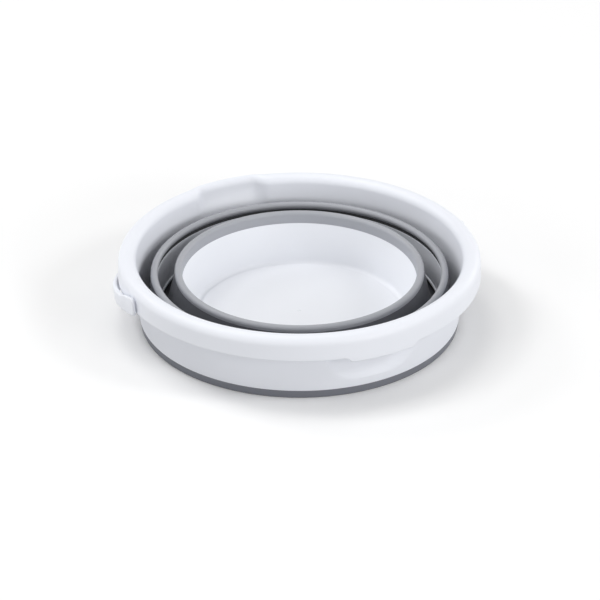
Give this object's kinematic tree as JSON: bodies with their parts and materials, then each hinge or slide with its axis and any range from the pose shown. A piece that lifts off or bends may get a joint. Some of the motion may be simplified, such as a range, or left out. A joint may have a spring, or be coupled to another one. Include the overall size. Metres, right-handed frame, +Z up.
{
  "type": "collapsible bucket",
  "caption": "Round folding bucket with a hard collar and base cup, soft folding walls, a pouring spout, a finger grip and a swinging carry bail.",
  "frame": {"origin": "centre of the flat underside of the base cup, on the floor the folded bucket stands on", "axes": "+Z up along the bucket's axis, +X along the bail's pivot axis, +Y towards the spout and the laid-back bail"},
  "size_m": [0.3316, 0.3241, 0.0673],
  "materials": {
    "white_plastic": "glossy moulded polypropylene, cool white",
    "grey_elastomer": "satin thermoplastic elastomer, mid grey"
  },
  "bodies": {
    "base": {"base_cup": "white_plastic", "base_rim_band": "grey_elastomer", "lower_fold": "grey_elastomer"},
    "ring": {"trough_lip": "grey_elastomer", "middle_ring": "white_plastic", "crest_bead": "grey_elastomer", "upper_fold": "grey_elastomer"},
    "rim": {"collar": "white_plastic", "collar_band": "grey_elastomer"},
    "bail": {"bail_handle": "white_plastic"}
  },
  "joints": [
    {"name": "lower_section_slide", "type": "slide", "parent": "base", "child": "ring", "axis": [0, 0, 1], "range_m": [0, 0.0828], "deforming": ["lower_fold"]},
    {"name": "upper_section_slide", "type": "slide", "parent": "ring", "child": "rim", "axis": [0, 0, 1], "range_m": [0, 0.0836], "deforming": ["upper_fold"]},
    {"name": "bail_swing", "type": "hinge", "parent": "rim", "child": "bail", "pos_m": [0, 0, 0.0507], "axis": [1, 0, 0], "range_deg": [0, 210]}
  ]
}
